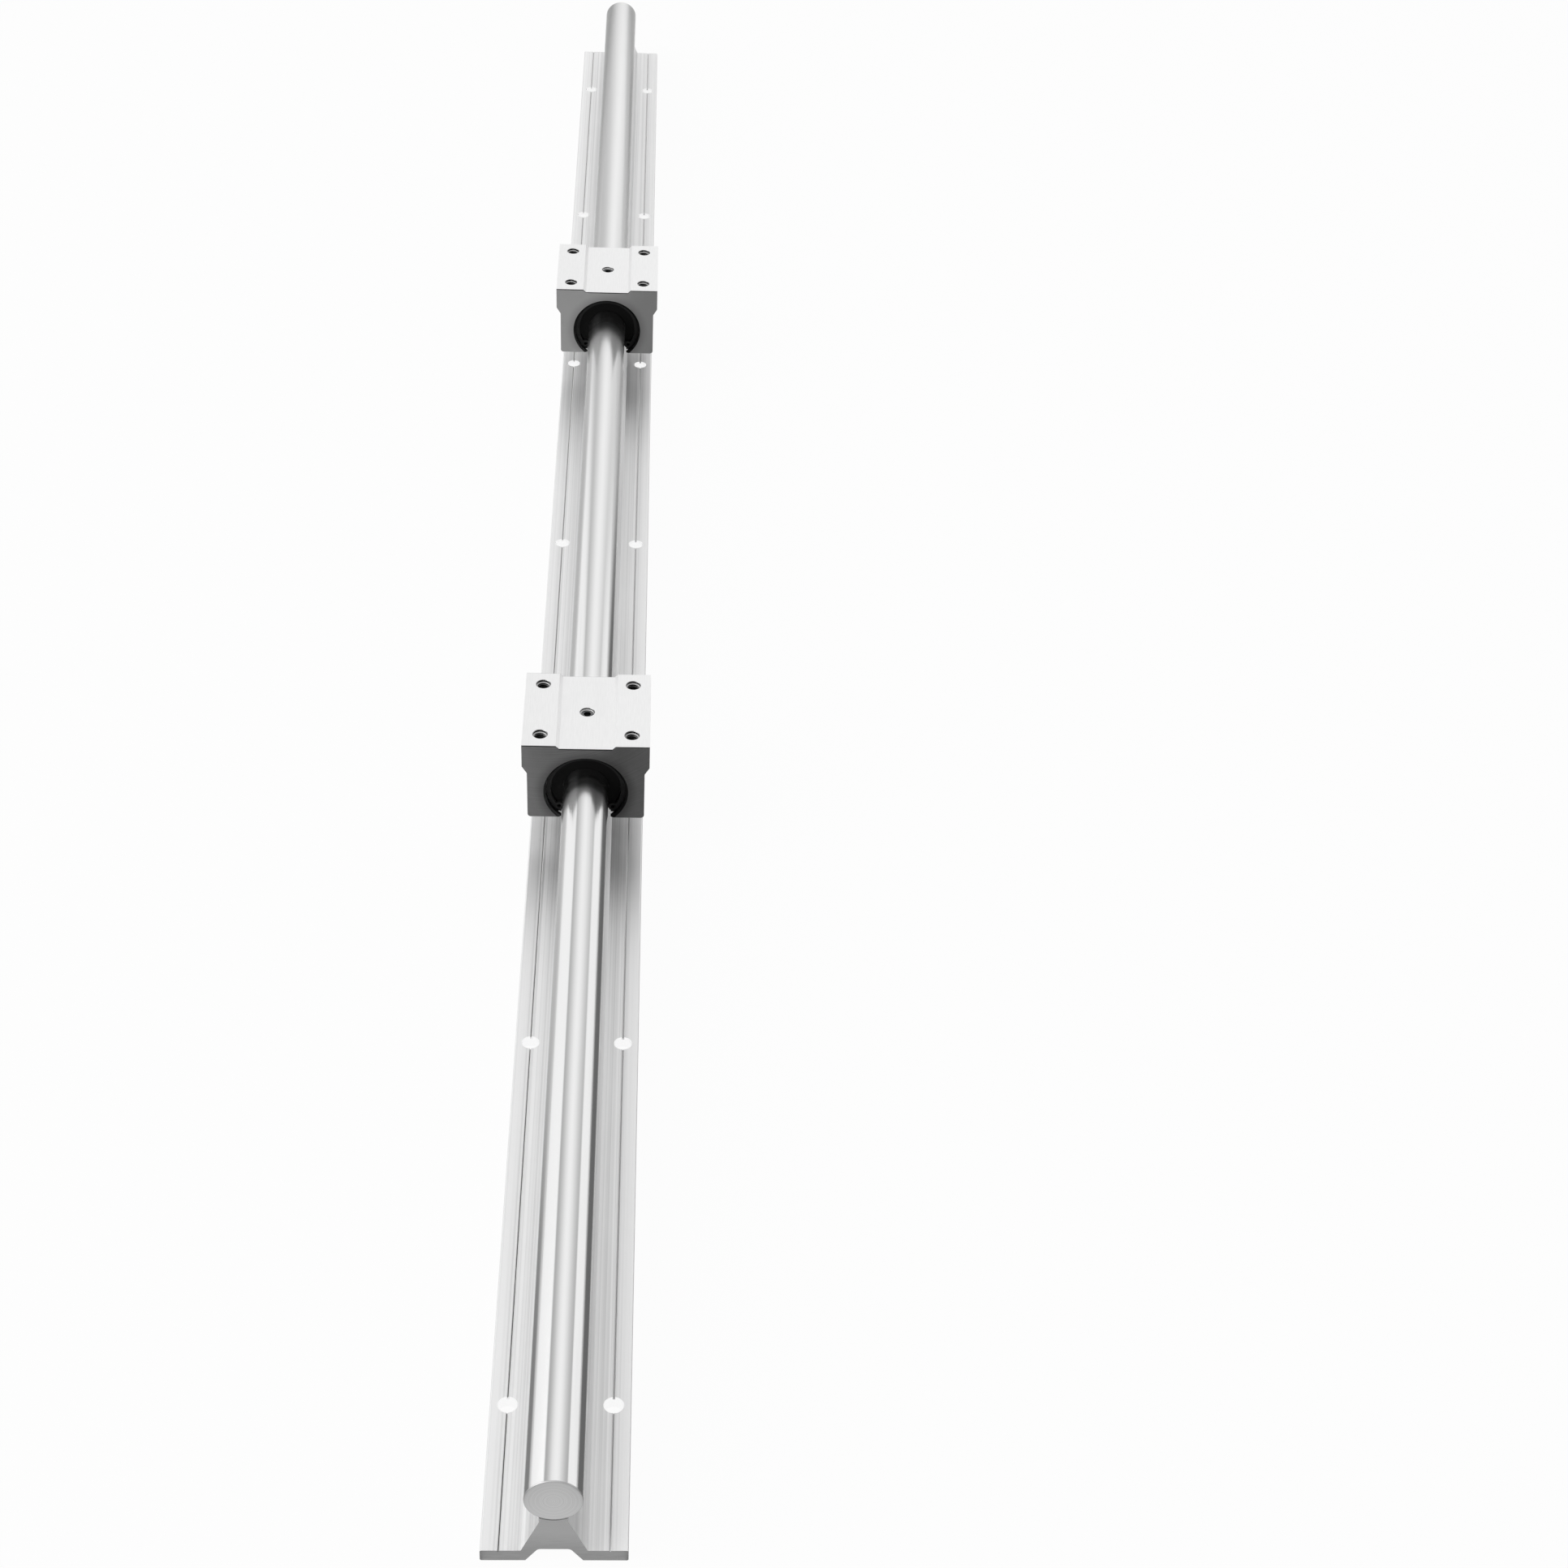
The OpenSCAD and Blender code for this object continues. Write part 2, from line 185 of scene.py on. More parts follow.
# %% [markdown]
# ## Turned forms
#
# A hole, a bore or a bar is round, so all of them start from one disc. The disc is extruded a step
# at a time, and its end is resized at each step, as a lathe would change the diameter. That gives
# a closed form, which serves as a bar or, with a Boolean modifier, as the tool that cuts a hole.

# %% A closed round form
def turned(steps, segments):
    """A round form up the Z axis: each step is a height and a radius."""
    height, radius = steps[0]
    bpy.ops.mesh.primitive_circle_add(
        vertices=segments, radius=radius, fill_type="NGON", location=(0, 0, height)
    )
    form = bpy.context.object
    only(form)
    bpy.ops.object.transform_apply(location=True)
    bpy.ops.object.mode_set(mode="EDIT")
    bpy.ops.mesh.select_all(action="SELECT")
    for next_height, next_radius in steps[1:]:
        rise = {"value": (0, 0, next_height - height)}
        bpy.ops.mesh.extrude_region_move(TRANSFORM_OT_translate=rise)
        share = next_radius / radius
        bpy.ops.transform.resize(value=(share, share, 1), center_override=(0, 0, next_height))
        height, radius = next_height, next_radius
    bpy.ops.mesh.select_all(action="SELECT")
    bpy.ops.mesh.normals_make_consistent(inside=False)
    bpy.ops.object.mode_set(mode="OBJECT")
    return form


# %% [markdown]
# A turned form points up. A bar or a bore lies along the rail instead, at the height of its axis,
# so it is tipped over and lifted. What repeats, such as a drilled hole, is made once and copied.

# %% Helpers that place and cut
def along_rail(form):
    """Lays a form that points up along the rail, with its axis on the shaft's axis."""
    form.rotation_euler = (-math.pi / 2, 0, 0)
    form.location.z = AXIS_Z
    only(form)
    bpy.ops.object.transform_apply(location=True, rotation=True)
    return form


def placed_copies(form, places):
    """Copies a form to each place, each copy with its own mesh, and joins them into one object."""
    copies = []
    for place in places:
        copy = form.copy()
        copy.data = form.data.copy()
        copy.location = place
        bpy.context.scene.collection.objects.link(copy)
        copies.append(copy)
    bpy.data.objects.remove(form)
    only(*copies)
    if len(copies) > 1:
        bpy.ops.object.join()
    bpy.ops.object.transform_apply(location=True)
    return bpy.context.object


def cut_away(thing, tool):
    """Cuts one form out of another and clears the tool away."""
    modify(thing, "BOOLEAN", operation="DIFFERENCE", object=tool, solver="EXACT", use_self=True)
    bpy.data.objects.remove(tool)


# %% [markdown]
# ## The ground shaft
#
# The shaft is a plain bar, and everything shows in it: a polished cylinder mirrors the studio in
# long stripes, and a coarse one would break them up. So it gets 160 sides, and its ends are
# bevelled as the real ones are.

# %% Model the shaft
SHAFT_SIDES = 160
SHAFT_CHAMFER = 0.5 * MM
RIM_FULLNESS = 0.6

shaft_bar = along_rail(turned([(shaft_low.y, SHAFT_R), (shaft_high.y, SHAFT_R)], SHAFT_SIDES))
rims = pick(shaft_bar, "EDGE", lambda e: RAIL_L / 2 - abs(middle(e).y) < MM)
bpy.ops.mesh.bevel(offset=SHAFT_CHAMFER, segments=2, profile=RIM_FULLNESS)
bpy.ops.object.mode_set(mode="OBJECT")
print("rim edges bevelled:", rims)

# %% [markdown]
# Screws that come up through the support draw the shaft down onto it. Each goes into a blind hole
# in the shaft's underside, so the holes are cut where the screws are, and a little deeper.

# %% Drill the shaft for its screws
SCREW_R = 2.5 * MM
HOLE_SPARE = 0.05 * MM
HOLE_DEEPER = 1.5 * MM
POINT_R = 0.01 * MM
DRILL_SIDES = 32

screw_names = sorted(name for name in nodes if name.startswith("shaft_screw"))
screw_boxes = [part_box(name) for name in screw_names]
row_y = sorted((low.y + high.y) / 2 for low, high in screw_boxes)
ROW_PITCH = row_y[1] - row_y[0]
hole_r = SCREW_R + HOLE_SPARE
hole_top = screw_boxes[0][1].z + HOLE_DEEPER
drill_steps = [(AXIS_Z - SHAFT_R - MM, hole_r), (hole_top, hole_r), (hole_top + hole_r / 2, POINT_R)]
drill = turned(drill_steps, DRILL_SIDES)
cut_away(shaft_bar, placed_copies(drill, [(0, (low.y + high.y) / 2, 0) for low, high in screw_boxes]))
settle(shaft_bar, "shaft_bar")
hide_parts("shaft")
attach(shaft_bar, "rail")
print(f"{len(row_y)} screw holes, {ROW_PITCH:.3f} m apart")

# %% [markdown]
# ## The bearing blocks
#
# A block is a length of thick extrusion, sawn off, bored and milled. It is modelled in that order:
# a cube is narrowed below its shoulders, its top is sunk between the two mounting pads, its feet
# are rounded, and then the bore and the tapped holes are cut. A Bevel modifier breaks the edges
# last, because the thin bright line along a broken edge is what makes metal look solid.

# %% Sizes of a block
BLOCK_W = 44.5 * MM
WAIST_W = 41 * MM
SHOULDER_H = 9 * MM
SLOPE_H = 2.9 * MM
RELIEF_W = 20.8 * MM
RELIEF_DEPTH = 1.2 * MM
FOOT_ROUND = 1.2 * MM
BORE_R = 14 * MM
BORE_SIDES = 128
MOUTH_CHAMFER = 0.6 * MM
GROOVE_DEPTH = 0.7 * MM
GROOVE_PLAY = 0.05 * MM
EDGE_BREAK = 0.2 * MM
SAWN_BREAK = 0.5 * MM
NEARLY = 0.01 * MM
BLOCK_Y = [sum(corner.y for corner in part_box(f"{side}_housing")) / 2 for side in BLOCKS]
print("block middles:", [round(y, 4) for y in BLOCK_Y])


# %% [markdown]
# The blank starts as a cube. Bisect cuts it into bands where its outline turns, and the bands are
# then resized or moved, so every face stays flat.

# %% The block before it is bored
def sawn_block(low, high):
    """The blank: shoulders, waist, relief and rounded feet."""
    centre = (low + high) / 2
    bpy.ops.mesh.primitive_cube_add(size=1, location=centre, scale=high - low)
    blank = bpy.context.object
    only(blank)
    bpy.ops.object.transform_apply(location=True, scale=True)
    shoulder_z = high.z - SHOULDER_H
    waist_z = shoulder_z - SLOPE_H
    floor_x = RELIEF_W / 2 - RELIEF_DEPTH
    bpy.ops.object.mode_set(mode="EDIT")
    cuts = [((0, 0, z), (0, 0, 1)) for z in (waist_z, shoulder_z)]
    cuts += [((x, 0, 0), (1, 0, 0)) for x in (-RELIEF_W / 2, -floor_x, floor_x, RELIEF_W / 2)]
    for place, direction in cuts:
        bpy.ops.mesh.select_all(action="SELECT")
        bpy.ops.mesh.bisect(plane_co=place, plane_no=direction)
    pick(blank, "VERT", lambda v: v.co.z < waist_z + NEARLY and abs(v.co.x) > RELIEF_W)
    narrower = (WAIST_W / BLOCK_W, 1, 1)
    bpy.ops.transform.resize(value=narrower, center_override=(0, centre.y, centre.z))
    pick(blank, "FACE", lambda f: high.z - middle(f).z < NEARLY and abs(middle(f).x) < floor_x)
    bpy.ops.transform.translate(value=(0, 0, -RELIEF_DEPTH))
    pick(blank, "EDGE", lambda e: is_foot_edge(e, low))
    bpy.ops.mesh.bevel(offset=FOOT_ROUND, segments=6)
    bpy.ops.object.mode_set(mode="OBJECT")
    return blank


def is_foot_edge(edge, low):
    """Whether an edge runs along the outside of a foot."""
    place = middle(edge)
    return place.z - low.z < NEARLY and WAIST_W / 2 - abs(place.x) < NEARLY


# %% [markdown]
# The bushing is held in the bore by a snap ring at each end, and each ring sits in a groove. The
# bore could be drilled first and the grooves cut after it. One turned tool does both, because it
# is as wide as the grooves where the rings are, and it opens out at both mouths.

# %% The bore with its ring grooves
def bore_tool(side, low, high):
    """A form as wide as the bore, wider at its mouths and where the snap rings sit."""
    ring_edges = []
    for place in ("front", "back"):
        ring_low, ring_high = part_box(f"{side}_snap_ring_{place}")
        ring_edges.append((ring_low.y - GROOVE_PLAY, ring_high.y + GROOVE_PLAY))
    groove_r = BORE_R + GROOVE_DEPTH
    mouth_r = BORE_R + MOUTH_CHAMFER + MM
    steps = [(low.y - MM, mouth_r), (low.y + MOUTH_CHAMFER, BORE_R)]
    for start, end in ring_edges:
        steps += [(start, BORE_R), (start, groove_r), (end, groove_r), (end, BORE_R)]
    steps += [(high.y - MOUTH_CHAMFER, BORE_R), (high.y + MM, mouth_r)]
    return along_rail(turned(steps, BORE_SIDES))


# %% [markdown]
# ## Threads
#
# Five holes open in the top of each block: four take the carriage's screws and the middle one holds
# the set screw. Their threads could be faked with a wavy bump, but they stand at the rim of a
# hole, where a bump looks flat. Each is a real helix: a small profile is swept with the Screw
# modifier, one turn for each 0.8 mm, and set into a hole that is drilled to the thread's root.
# The profile's first end is pushed back into the wall, as a tap's cut runs out of the metal.

# %% A length of internal thread
THREAD_R = 2.5 * MM
DRILL_R = 2.1 * MM
THREAD_PITCH = 0.8 * MM
ROOT_SHARE = 0.86
CREST_SHARE = 0.26
INTO_WALL = 0.04 * MM
STEPS_A_TURN = 28


def thread(turns):
    """The ridge of a right-handed thread that goes down from z = 0."""
    ridge_middle = (THREAD_R + DRILL_R) / 2
    bpy.ops.mesh.primitive_plane_add(size=1, location=(ridge_middle, 0, 0))
    ridge = bpy.context.object
    ridge.rotation_euler = (math.pi / 2, 0, 0)
    ridge.scale = (THREAD_R - DRILL_R + INTO_WALL, THREAD_PITCH * ROOT_SHARE, 1)
    only(ridge)
    bpy.ops.object.transform_apply(location=True, rotation=True, scale=True)
    pick(ridge, "VERT", lambda v: v.co.x < ridge_middle)
    bpy.ops.transform.resize(value=(1, 1, CREST_SHARE), center_override=(DRILL_R, 0, 0))
    pick(ridge, "FACE", lambda f: True)
    bpy.ops.mesh.delete(type="ONLY_FACE")
    bpy.ops.object.mode_set(mode="OBJECT")
    modify(
        ridge,
        "SCREW",
        axis="Z",
        angle=-2 * math.pi,
        screw_offset=-THREAD_PITCH,
        iterations=turns,
        steps=STEPS_A_TURN,
        render_steps=STEPS_A_TURN,
        use_smooth_shade=True,
    )
    pick(ridge, "VERT", is_first_crest)
    bpy.ops.transform.translate(value=(THREAD_R - DRILL_R, 0, 0))
    pick(ridge, "EDGE", lambda e: e.is_boundary)
    bpy.ops.mesh.fill_holes(sides=8)
    bpy.ops.mesh.select_all(action="SELECT")
    bpy.ops.mesh.normals_make_consistent(inside=False)
    bpy.ops.object.mode_set(mode="OBJECT")
    ridge.rotation_euler = (0, 0, -math.pi / 2)
    only(ridge)
    bpy.ops.object.transform_apply(rotation=True)
    return ridge


def is_first_crest(corner):
    """Whether a corner is at the crest of the ridge's upper end."""
    at_top = corner.co.z > -THREAD_PITCH / 2
    return corner.is_boundary and at_top and corner.co.x < DRILL_R + 0.1 * MM


# %% [markdown]
# ## Tapped holes
#
# The four mounting holes stand where the part's stated bolt pattern puts them. They end in the cone
# of the drill, and each is sunk at its mouth, so that a screw finds its way in. The middle hole
# starts in the sunken floor and goes through to the bore, where the set screw holds the bushing.

# %% Tools for the tapped holes
TAP_DEPTH = 12 * MM
SINK_R = 2.7 * MM
HOLE_SIDES = 40


def tapped_middle(side):
    """How far along the rail a block's middle is."""
    return BLOCK_Y[BLOCKS.index(side)]


def tapped_places(side):
    """Where a block's four mounting holes stand."""
    mount = next(m for m in frame["record"]["mounts"] if m["name"] == f"{side}_block_holes")
    across = mount["dims"]["spacing_x_mm"] * MM / 2
    along = mount["dims"]["spacing_y_mm"] * MM / 2
    x, y, _ = mount["pos_m"]
    return [(x + sx * across, y + sy * along, 0) for sx in (-1, 1) for sy in (-1, 1)]


def mouth(surface_z, hole_r):
    """The last steps of a hole: its wall ends in a countersink at a surface."""
    sink_foot = surface_z - SINK_R + THREAD_R
    return [(sink_foot, hole_r), (surface_z, SINK_R), (surface_z + MM, SINK_R)]


def cut_tapped_holes(block, side, top_z, relief_z):
    """Cuts the four mounting holes and the set screw's hole."""
    foot_z = top_z - TAP_DEPTH
    steps = [(foot_z - THREAD_R / 2, POINT_R), (foot_z, THREAD_R)]
    hole = turned(steps + mouth(top_z, THREAD_R), HOLE_SIDES)
    cut_away(block, placed_copies(hole, tapped_places(side)))
    lock_r = THREAD_R + HOLE_SPARE
    steps = [(AXIS_Z + BORE_R - MM, lock_r)]
    lock_hole = turned(steps + mouth(relief_z, lock_r), HOLE_SIDES)
    cut_away(block, placed_copies(lock_hole, [(0, tapped_middle(side), 0)]))


# %% [markdown]
# ## Putting a block together
#
# Blank, bore and holes come first. The saw leaves a burr at both ends, which is filed off along the
# top, so the top's end edges are broken more widely than the rest. Last, the normals are weighted
# by the size of their faces: the broad faces then shade flat, and only the bevels turn the light.

# %% A whole block
NORMAL_WEIGHT = 50
BEVEL_FROM_DEGREES = 32


def is_end_rim(edge, low, high):
    """Whether an edge runs along the top of one of the block's sawn ends."""
    a, b = (corner.co for corner in edge.verts)
    in_plane = abs(a.y - b.y) < NEARLY
    at_end = min(abs(a.y - low.y), abs(a.y - high.y)) < NEARLY
    return in_plane and at_end and min(a.z, b.z) > high.z - RELIEF_DEPTH - NEARLY


def whole_block(side):
    """A housing with its bore and holes cut and its edges broken."""
    low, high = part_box(f"{side}_housing")
    block = sawn_block(low, high)
    cut_away(block, bore_tool(side, low, high))
    cut_tapped_holes(block, side, high.z, high.z - RELIEF_DEPTH)
    pick(block, "EDGE", lambda e: is_end_rim(e, low, high))
    bpy.ops.mesh.bevel(offset=SAWN_BREAK, segments=2)
    bpy.ops.object.mode_set(mode="OBJECT")
    limit = math.radians(BEVEL_FROM_DEGREES)
    modify(block, "BEVEL", width=EDGE_BREAK, segments=2, limit_method="ANGLE", angle_limit=limit)
    settle(block, f"{side}_block")
    modify(block, "WEIGHTED_NORMAL", weight=NORMAL_WEIGHT, keep_sharp=True)
    return block


# %% [markdown]
# The threads stay pieces of their own, one for each block. That keeps the block's mesh light, and lets
# the threads have their own finish, painted dark as painted shade. The set screw fills most of its hole,
# so a single turn is enough above it.

# %% The threads of a block
FIRST_RIDGE = 0.75 * MM
FIRST_LOCK_RIDGE = 0.45 * MM
THREADLESS = 1.6 * MM


def block_threads(side):
    """The ridges in a block's five tapped holes, joined into one piece."""
    turns = round((TAP_DEPTH - THREADLESS) / THREAD_PITCH)
    first_z = BLOCK_TOP - FIRST_RIDGE
    threads = placed_copies(thread(turns), [(x, y, first_z) for x, y, _ in tapped_places(side)])
    lock_thread = thread(1)
    lock_thread.location = (0, tapped_middle(side), BLOCK_TOP - RELIEF_DEPTH - FIRST_LOCK_RIDGE)
    only(threads, lock_thread)
    bpy.ops.object.join()
    settle(threads, f"{side}_tapped_threads")
    return threads


# %% [markdown]
# Each block takes the place of its housing in the model and rides on the body that slides. Its
# threads ride with it.

# %% Model both blocks and their threads
for side in BLOCKS:
    block = whole_block(side)
    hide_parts(f"{side}_housing")
    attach(block, f"{side}_block")
    threads = block_threads(side)
    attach(threads, f"{side}_block")

# %% [markdown]
# ## Building finishes from nodes
#
# A finish is more than a colour. Metal shows how it was made: drawn through a die, turned, sawn,
# ground or blackened. All of that can be painted from noise that reads the piece's own
# coordinates, so it needs no image files and stays put when a block slides. The helpers below
# keep each material short: one adds a node, the others do the sums that come back often.

# %% A node tree that is filled line by line
class Nodes:
    """Adds nodes to a tree; every value may be a number or another node's output."""

    def __init__(self, tree):
        self.tree = tree

    def node(self, kind, inputs=None, **settings):
        """Adds a node and fills its inputs."""
        made = self.tree.nodes.new(kind)
        for name, value in settings.items():
            setattr(made, name, value)
        for name, value in (inputs or {}).items():
            self.fill(made.inputs[name], value)
        return made

    def fill(self, socket, value):
        """Links a node's output to a socket, or writes a plain value there."""
        if isinstance(value, bpy.types.NodeSocket):
            self.tree.links.new(value, socket)
        else:
            socket.default_value = value

    def noise(self, where, scale=1.0, detail=2.0):
        inputs = {"Vector": where, "Scale": scale, "Detail": detail}
        return self.node("ShaderNodeTexNoise", inputs).outputs["Fac"]

    def math(self, operation, a, b=0.0):
        return self.node("ShaderNodeMath", {0: a, 1: b}, operation=operation).outputs[0]

    def size(self, value):
        """A value without its sign."""
        return self.math("ABSOLUTE", value)

    def gap(self, a, b):
        """How far apart two values are."""
        return self.size(self.math("SUBTRACT", a, b))

    def product(self, first, *rest):
        """Several shares multiplied: what is left is where all of them hold."""
        return self.math("MULTIPLY", first, self.product(*rest)) if rest else first

    def length(self, vector):
        return self.node("ShaderNodeVectorMath", {0: vector}, operation="LENGTH").outputs["Value"]

    def ramp(self, value, low, high, to_low=0.0, to_high=1.0, kind="LINEAR"):
        """Maps low..high of a value to a new range, held at both ends."""
        inputs = {"Value": value, "From Min": low, "From Max": high, "To Min": to_low, "To Max": to_high}
        return self.node("ShaderNodeMapRange", inputs, interpolation_type=kind).outputs["Result"]

    def smooth(self, value, low, high, to_low=0.0, to_high=1.0):
        return self.ramp(value, low, high, to_low, to_high, "SMOOTHSTEP")

    def mix(self, share, a, b, kind="RGBA"):
        """Blends two colours by a share from 0 to 1."""
        made = self.node("ShaderNodeMix", data_type=kind)
        for name, value in (("Factor", share), ("A", a), ("B", b)):
            self.fill(next(i for i in made.inputs if i.name == name and i.enabled), value)
        return next(o for o in made.outputs if o.enabled)

    def lerp(self, share, a, b):
        """Blends two plain values by a share from 0 to 1."""
        return self.mix(share, a, b, "FLOAT")


# %% [markdown]
# A finish is such a tree with a Principled shader in it. Its patterns start from the Object
# coordinates, which are metres here, because every piece stands unscaled at the origin.

# %% A material with its own coordinates
class Finish(Nodes):
    """A material, with the patterns that metal needs."""

    def __init__(self, name, **settings):
        self.material = bpy.data.materials.new(name)
        self.material.use_nodes = True
        super().__init__(self.material.node_tree)
        self.surface = self.tree.nodes["Principled BSDF"]
        for socket, value in settings.items():
            self.surface.inputs[socket.replace("_", " ")].default_value = value
        self.coordinates = self.node("ShaderNodeTexCoord").outputs["Object"]

    def link(self, output, socket):
        self.tree.links.new(output, self.surface.inputs[socket])

    def stretched(self, per_x, per_y, per_z):
        """The coordinates with a pattern size for each direction, in repeats a metre."""
        inputs = {"Vector": self.coordinates, "Scale": (per_x, per_y, per_z)}
        return self.node("ShaderNodeMapping", inputs).outputs["Vector"]

    def bump(self, height, depth, strength=1.0, onto=None):
        """Raises the surface by height times depth, over an earlier bump if one is given."""
        inputs = {"Height": height, "Distance": depth, "Strength": strength}
        if onto:
            inputs["Normal"] = onto
        return self.node("ShaderNodeBump", inputs).outputs["Normal"]

    def parts(self):
        """The three coordinates, each by itself."""
        return self.node("ShaderNodeSeparateXYZ", {"Vector": self.coordinates}).outputs

    def from_axis(self, place):
        """How far a point is from the shaft's axis."""
        height = self.math("SUBTRACT", place["Z"], AXIS_Z)
        flat = self.node("ShaderNodeCombineXYZ", {"X": place["X"], "Z": height}).outputs[0]
        return self.length(flat)

    def facing(self, x, y, z):
        """How squarely the surface's own side looks along a direction, from 0 to 1."""
        normal = self.node("ShaderNodeTexCoord").outputs["Normal"]
        dot = self.node("ShaderNodeVectorMath", {0: normal, 1: (x, y, z)}, operation="DOT_PRODUCT")
        return self.size(dot.outputs["Value"])

    def from_block_middle(self, place):
        """How far along the rail a point is from the middle of its block."""
        return self.gap(place["Y"], self.ramp(place["Y"], -MM, MM, *BLOCK_Y))


# %% [markdown]
# Nearly all of this rail is grey metal, so a colour needs no more than its level. Painting a piece
# prints the name of its finish, and the prints together make a list to check.

# %% Greys, and painting a piece
def grey(level, blue=0.0):
    """A grey colour, leaning to blue by a share."""
    return (level * (1 - blue), level, level * (1 + blue), 1.0)


def paint(thing, finish):
    """Gives the whole of an object one material."""
    thing.data.materials.clear()
    thing.data.materials.append(finish.material)
    print(f"{thing.name}: {finish.material.name}")


# %% [markdown]
# ## Extruded aluminium
#
# The support was pushed through a steel die. That leaves lines along its whole length, broad and
# fine, and a satin gloss. One noise would give a single width of line. Four are laid over each
# other instead, from clouds to hairlines, each stretched thin along Y.

# %% Lines from the die
extruded = Finish("extruded_aluminium")
place = extruded.parts()
fine_lines = extruded.noise(extruded.stretched(4200, 2.5, 4200), detail=2)
streaks = extruded.noise(extruded.stretched(1500, 1.5, 1500), detail=2)
bands = extruded.noise(extruded.stretched(420, 0.8, 420), detail=1)
clouds = extruded.noise(extruded.stretched(55, 12, 55), detail=4)
tone = extruded.mix(extruded.smooth(bands, 0.3, 0.7), grey(0.81), grey(0.92))
tone = extruded.mix(extruded.smooth(streaks, 0.38, 0.72, 0.0, 0.5), tone, grey(0.60))
tone = extruded.mix(extruded.smooth(fine_lines, 0.5, 0.8, 0.0, 0.45), tone, grey(0.98))
tone = extruded.mix(extruded.smooth(clouds, 0.45, 0.75, 0.0, 0.4), tone, grey(0.92))
print("four layers of die lines")

# %% [markdown]
# Two narrow grooves guide the drill along the flange. Their walls are painted a chalky grey, darker on
# the left as painted shade, and their bottoms are painted nearly black as painted shade, most of all
# towards the near end and on the left. The chalky grey isn't metal, so the surface is metallic only
# where there is none.

# %% Chalky grey and painted shade in the drill grooves
GROOVE_X = 15 * MM
CHALKY_GROOVE_EDGE = (0.38 * MM, 0.30 * MM)
GROOVE_SHADE_EDGE = (0.14 * MM, 0.08 * MM)
MOUTH_EDGE = (FLANGE_TOP - 0.06 * MM, FLANGE_TOP - 0.16 * MM)
FLOOR_EDGE = (FLANGE_TOP - 0.9 * MM, FLANGE_TOP - 0.7 * MM)

from_middle = extruded.size(place["X"])
from_groove = extruded.gap(from_middle, GROOVE_X)
below_top = extruded.ramp(place["Z"], *MOUTH_EDGE)
above_foot = extruded.ramp(place["Z"], *FLOOR_EDGE)
chalky_groove = extruded.product(extruded.ramp(from_groove, *CHALKY_GROOVE_EDGE), below_top, above_foot)
# Painted shade: the chalky grey in the grooves is darker on the left.
chalky_with_side_shade = extruded.mix(extruded.ramp(place["X"], -MM, MM), grey(0.62), grey(0.95))
tone = extruded.mix(chalky_groove, tone, chalky_with_side_shade)
shade_to_near_end = extruded.ramp(place["Y"], 0.35, -0.48, 0.05, 0.95)
shade_by_side = extruded.ramp(place["X"], -MM, MM, 1.0, 0.5)
# Painted shade: the groove bottoms are painted nearly black, most on the left and near the near end.
painted_groove_shade = extruded.product(extruded.ramp(from_groove, *GROOVE_SHADE_EDGE), chalky_groove)
tone = extruded.mix(extruded.product(painted_groove_shade, shade_to_near_end, shade_by_side), tone, grey(0.04))
extruded.link(extruded.math("SUBTRACT", 1.0, chalky_groove), "Metallic")
print("grooves at", GROOVE_X, "m from the middle")

# %% [markdown]
# The outer strip of the flange is painted a little brighter, as a painted sheen. The drill left bright
# walls in the bolt-down holes. Their rows repeat at an even pitch, so one ping-pong of the distance
# along the rail finds all seven.

# %% Outer strips with painted sheen, and drilled holes
PAINTED_SHEEN_EDGE = (15.4 * MM, 18 * MM)
HOLE_WALL_EDGE = (3.0 * MM, 2.85 * MM)

# Painted sheen: the outer strips of the flange are painted brighter.
tone = extruded.mix(extruded.ramp(from_middle, *PAINTED_SHEEN_EDGE, 0.0, 0.6), tone, grey(0.97))
along_rows = extruded.math("SUBTRACT", place["Y"], row_y[0])
from_row = extruded.math("PINGPONG", along_rows, ROW_PITCH / 2)
to_hole = extruded.node("ShaderNodeCombineXYZ", {"X": from_groove, "Y": from_row}).outputs[0]
drilled = extruded.ramp(extruded.length(to_hole), *HOLE_WALL_EDGE)
tone = extruded.mix(drilled, tone, grey(0.98))
print("hole rows every", round(ROW_PITCH, 4), "m")

# %% [markdown]
# The two ends were sawn, so they are duller and carry the marks of the blade across them; their colour
# is also painted much darker than the top, as painted shade. The neck is painted a little brighter than
# the foot, painted shade that is darker towards the floor. Then gloss and a fine bump close the finish.

# %% Sawn ends with painted shade, gloss and bump
SAWN_EDGE = (RAIL_L / 2 - 0.10 * MM, RAIL_L / 2 - 0.05 * MM)
NECK_EDGE = (3 * MM, 12 * MM)

at_end = extruded.ramp(extruded.size(place["Y"]), *SAWN_EDGE)
blade = extruded.noise(extruded.stretched(260, 1, 5200), detail=3)
# Painted shade: the sawn ends are painted much darker than the top.
sawn = extruded.mix(extruded.smooth(blade, 0.3, 0.75), grey(0.28), grey(0.34))
# Painted shade: the ends are lighter up the neck and darker towards the floor.
up_the_neck = extruded.math("MULTIPLY", extruded.ramp(place["Z"], *NECK_EDGE), 0.8)
sawn = extruded.mix(up_the_neck, sawn, grey(0.41))
extruded.link(extruded.mix(at_end, tone, sawn), "Base Color")
satin = extruded.ramp(fine_lines, 0.2, 0.8, 0.40, 0.54)
satin = extruded.lerp(drilled, satin, 0.12)
extruded.link(extruded.lerp(at_end, satin, 0.5), "Roughness")
line_bump = extruded.bump(fine_lines, 0.005 * MM, 0.7)
line_bump = extruded.bump(streaks, 0.015 * MM, 0.6, line_bump)
blade_marks = extruded.math("MULTIPLY", blade, at_end)
extruded.link(extruded.bump(blade_marks, 0.02 * MM, 0.6, line_bump), "Normal")
